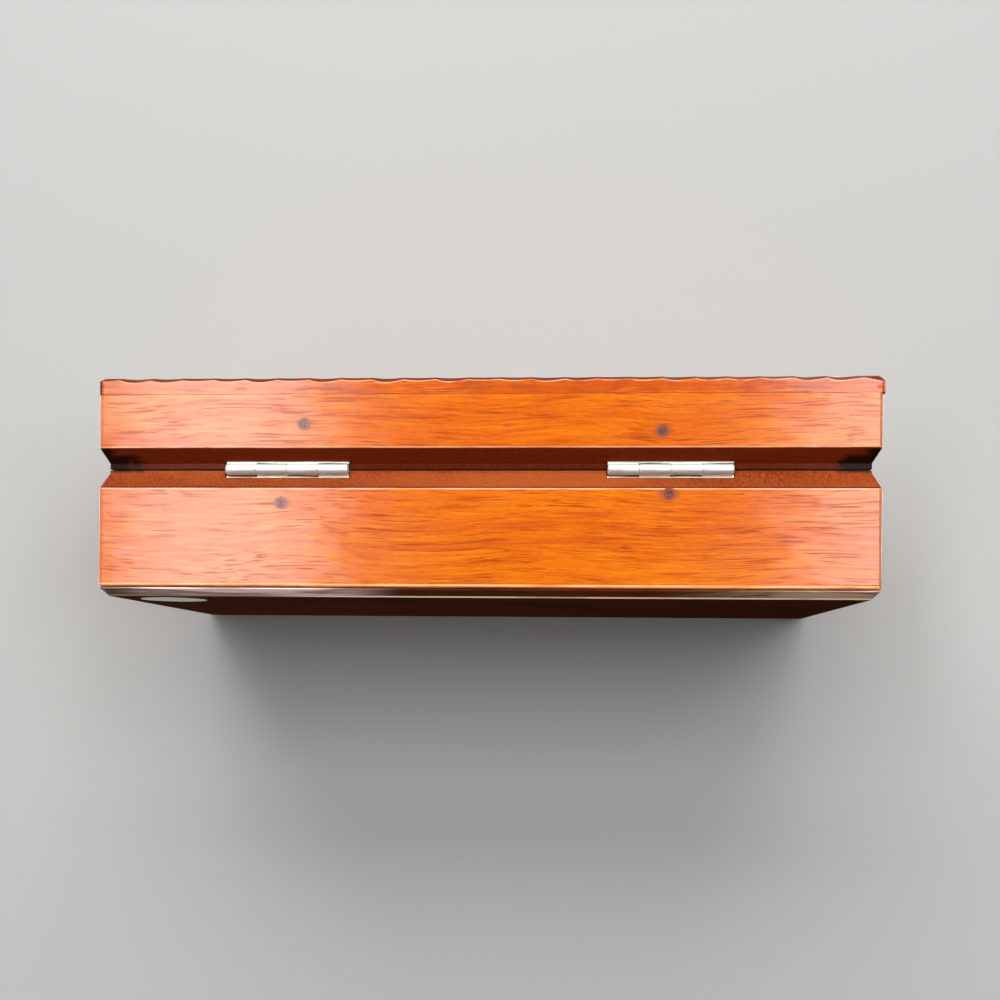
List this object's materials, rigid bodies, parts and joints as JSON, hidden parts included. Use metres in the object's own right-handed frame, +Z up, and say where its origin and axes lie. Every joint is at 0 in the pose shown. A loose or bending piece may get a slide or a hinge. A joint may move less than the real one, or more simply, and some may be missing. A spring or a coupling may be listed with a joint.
{
  "type": "carved wooden jewelry box",
  "caption": "Hinged wooden jewelry box with mitred walls, a V groove at the joint and a lid carved with a scalloped border, a rosette and leaf sprays.",
  "frame": {"origin": "on the surface the box stands on, under the middle of the box", "axes": "+X along the length, towards the box's right as seen from its front; +Y from front to hinged back; +Z up"},
  "size_m": [0.2, 0.1, 0.0566],
  "materials": {
    "lacquered_wood": "satin-gloss reddish orange lacquer over straight fine grain",
    "carved_wood": "satin-gloss lacquer, darker in the carved hollows",
    "dark_wood": "dark stained, dull",
    "hinge_metal": "bright nickel plate",
    "filler": "dull purple-brown filler"
  },
  "bodies": {
    "base": {"base_front_wall": "lacquered_wood", "base_back_wall": "lacquered_wood", "base_left_wall": "lacquered_wood", "base_right_wall": "lacquered_wood", "bottom_board": "dark_wood", "right_hinge_base_leaf": "hinge_metal", "right_hinge_pin": "hinge_metal", "left_hinge_base_leaf": "hinge_metal", "left_hinge_pin": "hinge_metal", "right_base_plug": "filler", "left_base_plug": "filler"},
    "lid": {"lid_front_rail": "lacquered_wood", "lid_back_rail": "lacquered_wood", "lid_left_rail": "lacquered_wood", "lid_right_rail": "lacquered_wood", "carved_lid_board": "carved_wood", "right_hinge_lid_leaf": "hinge_metal", "left_hinge_lid_leaf": "hinge_metal", "right_lid_plug": "filler", "left_lid_plug": "filler"}
  },
  "joints": [
    {"name": "lid_hinge", "type": "hinge", "parent": "base", "child": "lid", "pos_m": [0, 0.0483, 0.0328], "axis": [-1, 0, 0], "range_deg": [0, 125]}
  ]
}
